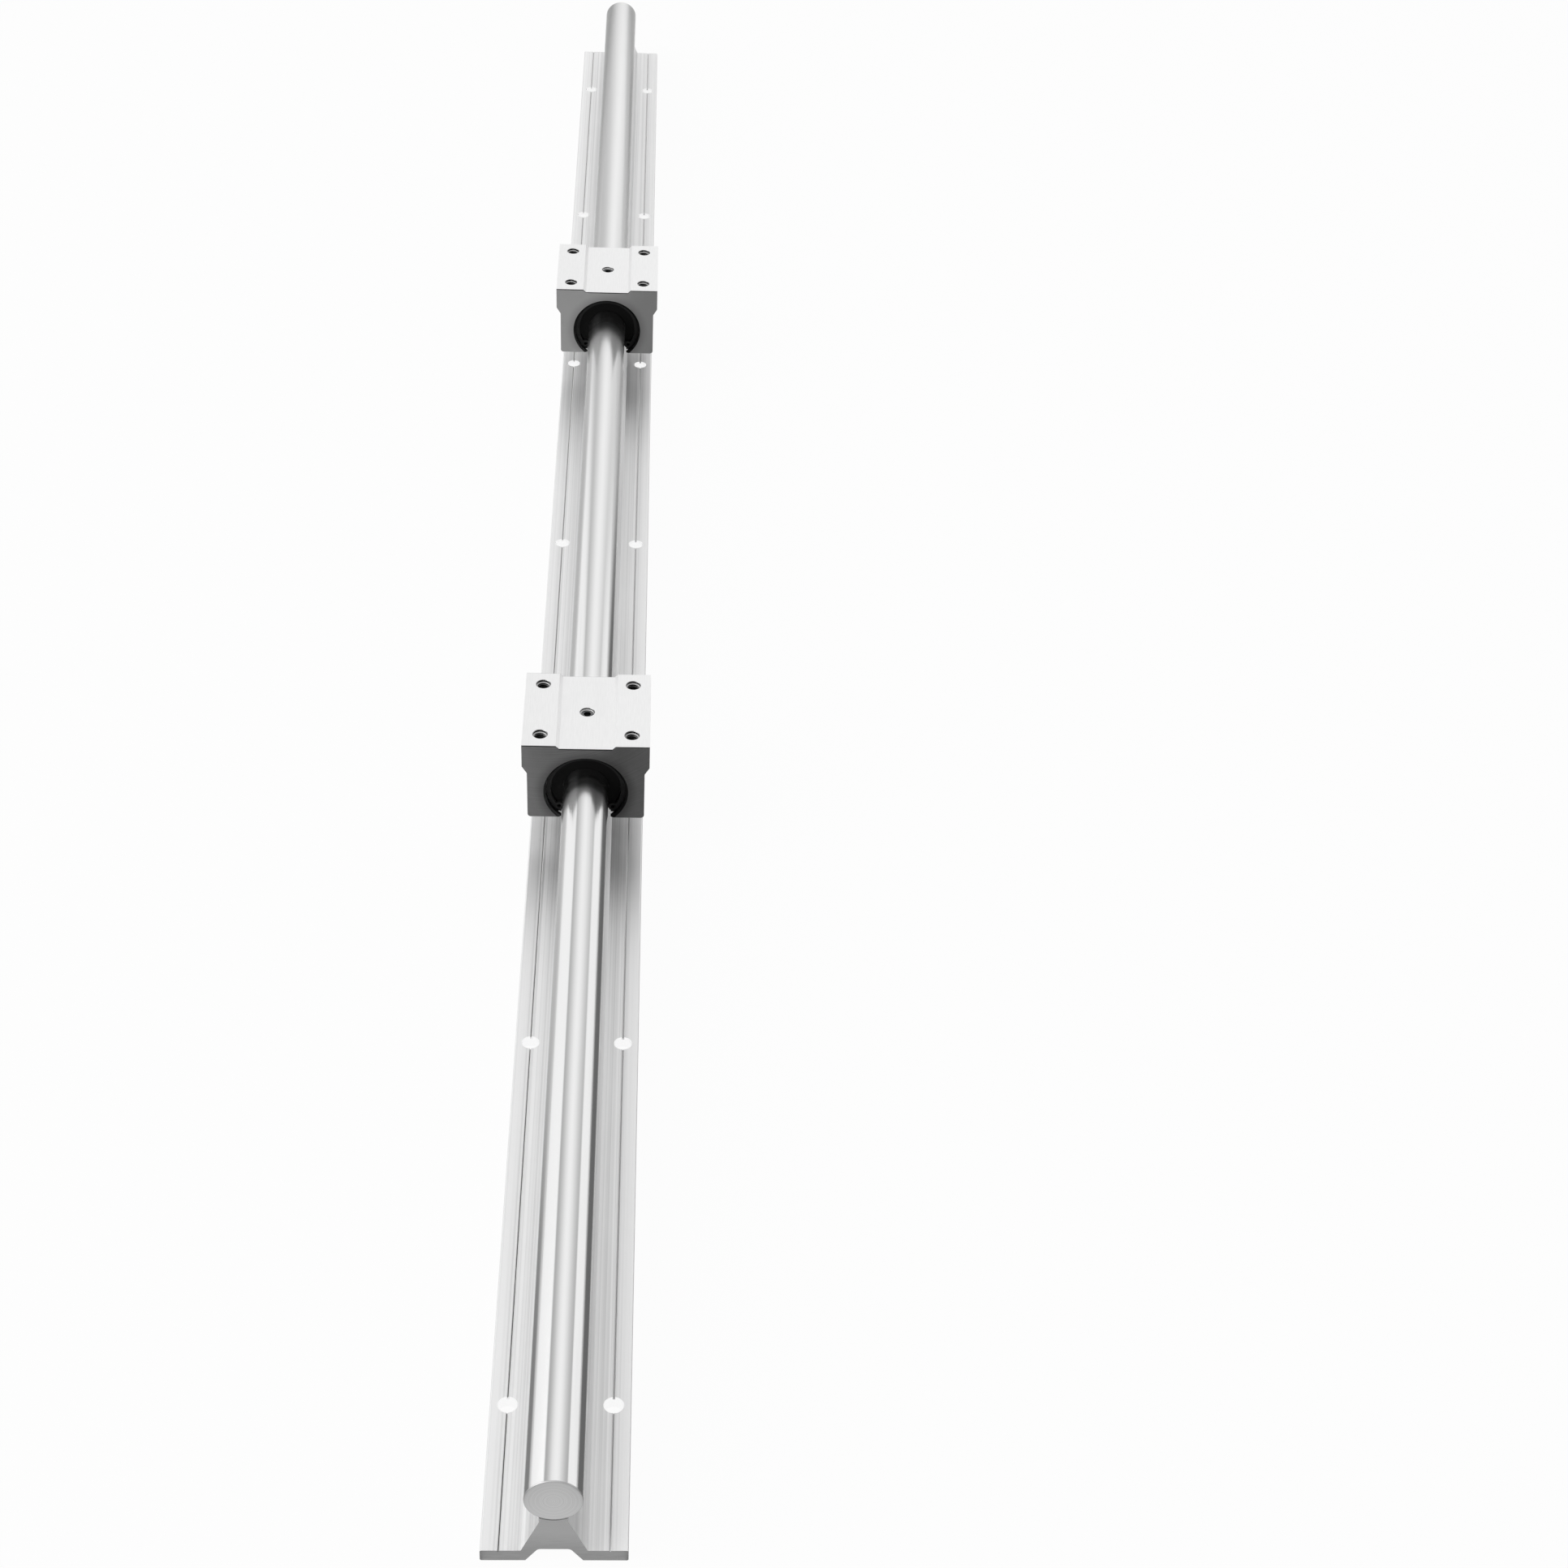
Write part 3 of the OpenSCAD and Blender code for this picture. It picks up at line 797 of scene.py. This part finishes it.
paint(nodes["support_rail"], extruded)

# %% [markdown]
# ## Ground steel
#
# The shaft was hardened and then ground while it turned, so its marks run round it. They are far
# too fine to see, but they smear every reflection along the shaft and leave it sharp across: the
# stripes stay crisp while the mirrored block fades out. The Principled shader does the same with
# full anisotropy, once a Tangent node tells it which way the marks run.

# %% Ground shaft
ground = Finish("ground_shaft", Metallic=1.0, Anisotropic=1.0, Anisotropic_Rotation=0.25)
round_the_shaft = ground.node("ShaderNodeTangent", direction_type="RADIAL", axis="Y")
ground.link(round_the_shaft.outputs["Tangent"], "Tangent")
grinding = ground.noise(ground.stretched(60, 9000, 60), detail=2)
wear = ground.noise(ground.stretched(300, 9, 300), detail=3)
polished = ground.mix(ground.smooth(wear, 0.55, 0.8, 0.0, 0.5), grey(0.85), grey(0.76))
ground.link(polished, "Base Color")
ground.link(ground.ramp(grinding, 0.3, 0.7, 0.10, 0.14), "Roughness")
ground.link(ground.bump(grinding, 0.003 * MM), "Normal")
paint(shaft_bar, ground)

# %% [markdown]
# The ends were faced on a lathe, which leaves rings round the centre and a duller, even grey. Their
# faces and rims take this finish from the shaft's second material slot.

# %% Faced ends of the shaft
RINGS_A_METRE = 3800

faced = Finish("faced_steel", Metallic=1.0, Roughness=0.45)
ring_step = faced.math("MULTIPLY", faced.from_axis(faced.parts()), RINGS_A_METRE)
rings = faced.noise(faced.node("ShaderNodeCombineXYZ", {"X": ring_step}).outputs[0])
faced.link(faced.mix(faced.smooth(rings, 0.3, 0.7), grey(0.49), grey(0.60)), "Base Color")
faced.link(faced.bump(rings, 0.015 * MM, 0.6), "Normal")
shaft_bar.data.materials.append(faced.material)
end_faces = [f for f in shaft_bar.data.polygons if RAIL_L / 2 - abs(f.center.y) < SHAFT_CHAMFER]
for face in end_faces:
    face.material_index = 1
print("faces at the shaft's ends:", len(end_faces))

# %% [markdown]
# ## Machined aluminium
#
# The blocks were cut from thicker bar, and every cut left its own surface: a bright, even satin on top
# and at the sides, wide arcs from a face mill on both ends, broken edges round them, drilled walls and
# countersinks, and a bore. The ends, the broken edges along their tops, the holes, the countersinks and
# the bore are also painted dark, as painted shade. Each could be a material of its own, with its faces
# picked by hand. Here one material works out from its place and the way it faces which cut it is.

# %% Which cut a surface belongs to
TAP_X = 16 * MM
NEAR_HOLE = (3.2 * MM, 3.0 * MM)
BORE_EDGE = (BORE_R + 0.9 * MM, BORE_R + 0.8 * MM)
SHADED_RIM_EDGE = (21.3 * MM, 21.4 * MM)

machined = Finish("machined_aluminium", Metallic=1.0)
place = machined.parts()
facing_up = machined.facing(0, 0, 1)
facing_end = machined.facing(0, 1, 0)
from_middle = machined.size(place["X"])
cut_face = machined.ramp(facing_end, 0.97, 0.99)
in_bore = machined.ramp(machined.from_axis(place), *BORE_EDGE)
by_taps = machined.ramp(machined.gap(from_middle, TAP_X), *NEAR_HOLE)
by_hole = machined.math("MAXIMUM", by_taps, machined.ramp(from_middle, *NEAR_HOLE))
# Painted shade: the walls of the holes are painted dark.
in_hole = machined.product(machined.ramp(facing_up, 0.5, 0.3), by_hole)
sloped = machined.product(machined.ramp(facing_up, 0.98, 0.93), machined.ramp(facing_up, 0.3, 0.5))
in_sink = machined.product(sloped, by_hole)
broken = machined.product(machined.ramp(facing_end, 0.15, 0.3), machined.ramp(facing_up, 0.99, 0.95))
at_saw = machined.ramp(machined.from_block_middle(place), *SHADED_RIM_EDGE)
# Painted shade: the broken edges along the tops of the ends are painted dark.
shaded = machined.product(broken, at_saw)
print("cuts told apart: end, bore, hole, countersink, slope, filed edge")

# %% [markdown]
# The face mill was wider than the block, so its teeth drew arcs round a point well above it, a
# little to one side. The distance from that point, fed into noise, gives the arcs. Slow patches and
# a fine grain along the rail break up the rest.

# %% Marks of the mill
MILL_CENTRE = (0.014, 0, -0.085)
ARCS_A_METRE = 1700

from_mill = machined.node("ShaderNodeMapping", {"Vector": machined.coordinates, "Location": MILL_CENTRE})
flat = {0: from_mill.outputs[0], 1: (1, 0, 1)}
across = machined.node("ShaderNodeVectorMath", flat, operation="MULTIPLY").outputs[0]
arc_step = machined.math("MULTIPLY", machined.length(across), ARCS_A_METRE)
milled_arcs = machined.noise(machined.node("ShaderNodeCombineXYZ", {"X": arc_step}).outputs[0], detail=2)
patches = machined.noise(machined.stretched(130, 30, 130), detail=4)
satin = machined.noise(machined.stretched(2600, 160, 2600), detail=2)
print("mill arcs round", MILL_CENTRE)

# %% [markdown]
# A face that looks down a rail mirrors little but the floor, so the ends look far darker than the top,
# and their colour is painted dark as well, as painted shade. The painted shade is darkest round the
# bore, lighter to the sides, and much lighter on the far block.

# %% Painted shade on the milled ends
BORE_SHADE_REACH = 5 * MM
SIDE_EDGE = (12 * MM, 22 * MM)
BETWEEN_BLOCKS = (-50 * MM, 50 * MM)

# Painted shade: the milled ends are painted dark, lighter to the sides and on the far block.
face = machined.mix(machined.smooth(milled_arcs, 0.3, 0.7), grey(0.16), grey(0.20))
face = machined.mix(machined.smooth(patches, 0.4, 0.7, 0.0, 0.5), face, grey(0.15))
face = machined.mix(machined.ramp(from_middle, *SIDE_EDGE, 0.0, 0.5), face, grey(0.30))
face = machined.mix(machined.ramp(place["Y"], *BETWEEN_BLOCKS, 0.0, 0.8), face, grey(0.44))
# Painted shade: the ends are darker still round the bore.
bore_shade = machined.smooth(machined.from_axis(place), BORE_R + BORE_SHADE_REACH, BORE_R)
bore_shade = machined.product(bore_shade, machined.ramp(place["Y"], *BETWEEN_BLOCKS, 0.6, 0.35))
face = machined.mix(bore_shade, face, grey(0.06))
print("oil reaches", BORE_SHADE_REACH, "m round the bore")

# %% [markdown]
# The whole block is then built up from its broadest tone to its smallest: satin all over, slopes,
# countersinks darkened as painted shade, holes and the rims of the ends painted nearly black as painted
# shade, the milled ends with their painted shade, and the bore last, painted nearly black as painted
# shade.

# %% Tones of the whole block, gloss and bump
tone = machined.mix(machined.smooth(satin, 0.3, 0.7), grey(0.92), grey(0.96))
tone = machined.mix(machined.smooth(patches, 0.5, 0.75, 0.0, 0.4), tone, grey(0.90))
tone = machined.mix(sloped, tone, grey(0.88))
# Painted shade: the countersinks are painted darker than the top.
tone = machined.mix(in_sink, tone, grey(0.30))
# Painted shade: hole walls and the rims along the ends' tops are painted nearly black.
tone = machined.mix(machined.math("MAXIMUM", in_hole, shaded), tone, grey(0.03))
tone = machined.mix(cut_face, tone, face)
# Painted shade: the bore is painted nearly black.
tone = machined.mix(in_bore, tone, grey(0.018))
machined.link(tone, "Base Color")
gloss = machined.lerp(cut_face, machined.ramp(satin, 0.3, 0.7, 0.34, 0.44), 0.42)
gloss = machined.lerp(in_sink, gloss, 0.40)
machined.link(machined.lerp(in_bore, gloss, 0.35), "Roughness")
mill_bump = machined.bump(machined.math("MULTIPLY", milled_arcs, cut_face), 0.015 * MM, 0.6)
machined.link(machined.bump(satin, 0.002 * MM, 0.5, mill_bump), "Normal")
for side in BLOCKS:
    paint(bpy.data.objects[f"{side}_block"], machined)

# %% [markdown]
# ## Inside the tapped holes
#
# Little light finds its way down a hole, so the threads carry painted shade: the first turn of each
# thread is painted a middle grey, and the turns below it are painted nearly black, darker with depth.
# The middle hole's mouth lies lower than the others, so its depth is measured from there.

# %% Tapped threads
LOCK_HOLE_EDGE = (5.1 * MM, 5.0 * MM)
BRIGHT_EDGE = (BLOCK_TOP - 2.2 * MM, BLOCK_TOP - 0.8 * MM)

tapped = Finish("tapped_aluminium", Metallic=1.0, Roughness=0.38)
place = tapped.parts()
dark_mottle = tapped.noise(tapped.coordinates, 3000, detail=3)
sunk = tapped.ramp(tapped.size(place["X"]), *LOCK_HOLE_EDGE, 0.0, RELIEF_DEPTH)
first_turns = tapped.ramp(tapped.math("ADD", place["Z"], sunk), *BRIGHT_EDGE)
# Painted shade: below the first turn the threads are painted nearly black.
deep_thread_shade = tapped.mix(tapped.smooth(dark_mottle, 0.35, 0.7), grey(0.05), grey(0.10))
tapped.link(tapped.mix(first_turns, deep_thread_shade, grey(0.55)), "Base Color")
for side in BLOCKS:
    paint(bpy.data.objects[f"{side}_tapped_threads"], tapped)

# %% [markdown]
# ## Black pieces
#
# Seals, cages and snap rings all look black, but not the same black. Rubber is matt and takes
# hardly any gloss, moulded resin has a soft sheen, and the phosphate on spring steel is dull and
# crystalline. A grain of the right size and depth tells them apart up close.

# %% Rubber, resin and phosphate
def black_finish(name, grain_size, detail, dark, pale, grain_depth, strength, **settings):
    """A black that doesn't conduct: two tones and a bump from one fine grain."""
    black = Finish(name, **settings)
    grain = black.noise(black.coordinates, grain_size, detail=detail)
    black.link(black.mix(grain, grey(dark), grey(pale)), "Base Color")
    black.link(black.bump(grain, grain_depth, strength), "Normal")
    return black


rubber = black_finish(
    "seal_rubber", 2200, 3, 0.003, 0.007, 0.02 * MM, 0.5, Roughness=0.8, Specular_IOR_Level=0.1
)
resin = black_finish("cage_resin", 1500, 2, 0.012, 0.03, 0.01 * MM, 0.4, Roughness=0.45)
phosphate = black_finish(
    "phosphated_spring_steel", 1400, 4, 0.006, 0.016, 0.008 * MM, 0.4,
    Roughness=0.6, Specular_IOR_Level=0.2,
)
print("black finishes:", rubber.material.name, resin.material.name, phosphate.material.name)

# %% [markdown]
# The screws are steel under a thin black oxide. On the shaft's screws it is whole. On the set
# screws the wrench has worn it, so they are greyer, with a slight relief.

# %% Screw steel
OXIDE_BLOOM = 900

oxide = Finish("black_oxide_steel", Metallic=1.0, Roughness=0.4)
bloom = oxide.noise(oxide.coordinates, OXIDE_BLOOM, detail=4)
oxide.link(oxide.mix(oxide.smooth(bloom, 0.3, 0.7), grey(0.015, 0.1), grey(0.05)), "Base Color")
oxide.link(oxide.ramp(bloom, 0.3, 0.7, 0.32, 0.5), "Roughness")
worn = Finish("worn_screw_steel", Metallic=1.0, Roughness=0.3)
bloom = worn.noise(worn.coordinates, OXIDE_BLOOM, detail=4)
worn.link(worn.mix(worn.smooth(bloom, 0.3, 0.7), grey(0.12, 0.05), grey(0.24)), "Base Color")
worn.link(worn.bump(bloom, 0.006 * MM, 0.5), "Normal")
print("screw finishes:", oxide.material.name, worn.material.name)

# %% [markdown]
# Balls and sleeves are bearing steel, bright and hard. The two ends of each sleeve, next to the seals
# and deep in the bore, are painted nearly black as painted shade.

# %% Bearing steel
SLEEVE_SHADE_EDGE = (17.6 * MM, 17.9 * MM)

bearing = Finish("bearing_steel", Metallic=1.0)
scuffs = bearing.noise(bearing.coordinates, 700, detail=3)
sleeve_end_shade = bearing.ramp(bearing.from_block_middle(bearing.parts()), *SLEEVE_SHADE_EDGE)
steel = bearing.mix(bearing.smooth(scuffs, 0.4, 0.7), grey(0.48), grey(0.62))
# Painted shade: the ends of each sleeve are painted nearly black.
bearing.link(bearing.mix(sleeve_end_shade, steel, grey(0.02)), "Base Color")
bearing.link(bearing.ramp(scuffs, 0.3, 0.7, 0.14, 0.28), "Roughness")
print("bearing finish:", bearing.material.name)

# %% [markdown]
# The model's own pieces keep their meshes and only take a finish. Their names say what they are,
# so a short table matches a word in the name to a finish. The first word that fits counts, which
# is why the set screws come before the other screws.

# %% Paint the model's own pieces
FINISH_BY_WORD = {
    "seal": rubber,
    "cage": resin,
    "snap_ring": phosphate,
    "lock_screw": worn,
    "screw": oxide,
    "sleeve": bearing,
    "balls": bearing,
}

for name, thing in nodes.items():
    finish = next((f for word, f in FINISH_BY_WORD.items() if word in name), None)
    if finish:
        paint(thing, finish)

# %% [markdown]
# ## The floor
#
# The rail lies on a plain pale floor that keeps its soft shadow. To the camera the floor is almost
# white, because a Light Path node shows it plain white there, and so no extra light has to fall on
# the metal. Mirrors see that white only straight under the rail, through the drilled holes.
# Elsewhere they see the floor's own grey, so a block's front shows as dark as in a real room.

# %% Floor
FLOOR_SIZE = 16
FLOOR_LEVEL = 0.56
TO_CAMERA = 0.96
UNDER_RAIL = 0.95
BESIDE_RAIL = 0.1
RAIL_EDGE = (20 * MM, 19 * MM)

bpy.ops.mesh.primitive_plane_add(size=FLOOR_SIZE)
floor = bpy.context.object
floor.name = "floor"
floor_finish = Finish("studio_floor", Base_Color=grey(FLOOR_LEVEL), Roughness=0.9)
floor_place = floor_finish.parts()
path = floor_finish.node("ShaderNodeLightPath").outputs
straight = floor_finish.math("MAXIMUM", path["Is Camera Ray"], path["Is Transmission Ray"])
beneath = floor_finish.ramp(floor_finish.size(floor_place["X"]), *RAIL_EDGE, BESIDE_RAIL, UNDER_RAIL)
mirrored = floor_finish.product(path["Is Glossy Ray"], beneath)
whitened = floor_finish.math("MAXIMUM", floor_finish.product(straight, TO_CAMERA), mirrored)
print("floor", FLOOR_SIZE, "m wide")

# %% [markdown]
# Polished steel on white has no edge of its own. In a studio, strips of black felt would be laid beside
# it, just out of view, and the shaft would mirror them as the thin dark lines that draw its sides. Here
# no felt is laid: dark strips are painted on the floor for mirrors alone, a painted reflection of shade
# beside the rail. The right one reaches further and runs past the near block, and the left one is strong
# only near the end.

# %% Painted dark strips for the shaft to mirror
STRIP_START = (24 * MM, 34 * MM)
DARK_STRIP_LEVEL = 0.10


def painted_dark_strip(turn, reach, along, near_share, far_share):
    """How much painted dark strip lies at a place on one side of the rail, thinning out along it."""
    sideways = floor_finish.math("MULTIPLY", floor_place["X"], turn)
    inner = floor_finish.smooth(sideways, *STRIP_START)
    outer = floor_finish.smooth(sideways, 2 * reach, reach)
    lengthwise = floor_finish.smooth(floor_place["Y"], *along, near_share, far_share)
    return floor_finish.product(floor_finish.product(inner, outer), lengthwise)


right_dark_strip = painted_dark_strip(1, 0.16, (-0.05, 0.18), 0.9, 0.0)
left_dark_strip = painted_dark_strip(-1, 0.10, (-0.42, -0.25), 0.75, 0.2)
both = floor_finish.math("MAXIMUM", right_dark_strip, left_dark_strip)
dark_strip_share = floor_finish.product(both, path["Is Glossy Ray"])
print("felt from", STRIP_START[0], "m beside the middle of the rail")

# %% [markdown]
# Three surfaces make the floor: the lit grey, the painted dark strips over it for mirrors, and over both
# the plain white, which stays away from where the strips are.

# %% Put the floor's three surfaces together
def glow(level):
    """A surface that shows one grey, whatever light falls on it."""
    shader = floor_finish.node("ShaderNodeEmission", {"Color": grey(level), "Strength": 1.0})
    return shader.outputs[0]


def laid_over(share, below, above):
    """One surface over another, by a share from 0 to 1."""
    return floor_finish.node("ShaderNodeMixShader", {0: share, 1: below, 2: above}).outputs[0]


# Painted reflection: mirrors see dark strips painted over the floor's grey.
with_dark_strips = laid_over(dark_strip_share, floor_finish.surface.outputs[0], glow(DARK_STRIP_LEVEL))
bare = floor_finish.math("SUBTRACT", 1.0, dark_strip_share)
shown = laid_over(floor_finish.product(whitened, bare), with_dark_strips, glow(1.0))
floor_finish.fill(floor_finish.tree.nodes["Material Output"].inputs["Surface"], shown)
paint(floor, floor_finish)

# %% [markdown]
# ## A sky for polished metal
#
# A mirror has no look of its own: the shaft shows whatever stands around it. In a real studio that
# would be a long soft panel overhead, a white card on each side and a dim room behind the camera.
# The world gives the same for free, because its brightness can be worked out from the direction
# of the ray. First comes the light ahead: the panel, which fades to both sides, and the two cards.

# %% Panel and cards ahead
PANEL_X = 0.12
PANEL_REACH = 0.68
PANEL_EDGE = 0.45
LEFT_CARD = (26, 35)
RIGHT_CARD = (32, 51)

world = bpy.data.worlds.new("studio")
bpy.context.scene.world = world
world.use_nodes = True
sky = Nodes(world.node_tree)
direction = sky.node("ShaderNodeTexCoord").outputs["Generated"]
along = sky.node("ShaderNodeSeparateXYZ", {"Vector": direction}).outputs
side_angle = sky.math("ARCTAN2", along["X"], along["Y"])
lean = sky.math("ARCTAN2", along["X"], along["Z"])
panel = sky.smooth(sky.gap(along["X"], PANEL_X), 0.0, PANEL_REACH, 1.0, PANEL_EDGE)


def card(turn, from_side, from_lean):
    """Where a white card stands: past one angle to the side, and below another overhead."""
    beside = sky.math("MULTIPLY", side_angle, turn)
    below = sky.math("MULTIPLY", lean, turn)
    beside = sky.smooth(beside, math.radians(from_side - 2), math.radians(from_side + 4))
    below = sky.smooth(below, math.radians(from_lean - 2), math.radians(from_lean + 2))
    return sky.product(beside, below)


cards = sky.math("MAXIMUM", card(-1, *LEFT_CARD), card(1, *RIGHT_CARD))
ahead_light = sky.lerp(cards, panel, 1.0)
print(f"cards from {LEFT_CARD[0]} degrees on the left and {RIGHT_CARD[0]} on the right")

# %% [markdown]
# Behind the camera the room is dim, which draws the dark line along each front edge, and its far
# wall is paler, so the rail also looks right from behind. The ceiling and the horizon are white.
# The camera itself sees a plain white backdrop, of the same shade as the floor.

# %% Room, ceiling and backdrop
ROOM_EDGE = (-0.35, 0.2)
WALL_EDGE = (-0.64, -0.80)
ROOM_LEVEL = 0.08
WALL_LEVEL = 0.85
CEILING_EDGE = (0.88, 0.98)
HORIZON_EDGE = (0.16, 0.04)
BACKDROP = 0.98

ahead = sky.smooth(along["Y"], *ROOM_EDGE)
room_light = sky.smooth(along["Y"], *WALL_EDGE, ROOM_LEVEL, WALL_LEVEL)
light = sky.lerp(ahead, room_light, ahead_light)
light = sky.lerp(sky.smooth(along["Z"], *CEILING_EDGE), light, 1.0)
behind = sky.smooth(ahead, 1.0, 0.0)
low_behind = sky.product(sky.smooth(along["Z"], *HORIZON_EDGE), behind)
light = sky.lerp(low_behind, light, 1.0)
to_eye = sky.node("ShaderNodeLightPath").outputs["Is Camera Ray"]
light = sky.lerp(to_eye, light, BACKDROP)
sky.fill(sky.tree.nodes["Background"].inputs["Color"], light)
print("world:", world.name)

# %% [markdown]
# ## One lamp
#
# The sky alone would leave no shadows. One wide lamp to the left of the rail gives the floor a soft
# shadow and models the sides. It stays out of what the shaft mirrors to the camera.

# %% Lamp
LAMP_PLACE = (-4.0, -1.6, 3.0)
LAMP_SIDE = 4.0
LAMP_WATTS = 210

bpy.ops.object.light_add(type="AREA", location=LAMP_PLACE)
lamp = bpy.context.object
lamp.name = "side_light"
lamp.rotation_euler = (-lamp.location).to_track_quat("-Z", "Y").to_euler()
lamp.data.shape = "RECTANGLE"
lamp.data.size = LAMP_SIDE
lamp.data.size_y = LAMP_SIDE
lamp.data.energy = LAMP_WATTS
print(f"{lamp.name}: {LAMP_WATTS} W over {LAMP_SIDE} m")

# %% [markdown]
# ## Colours as they are written
#
# The Standard view shows each colour as the finish names it, where a film-like view would soften it.

# %% Colour management
bpy.context.scene.view_settings.view_transform = "Standard"
print("view:", bpy.context.scene.view_settings.view_transform)
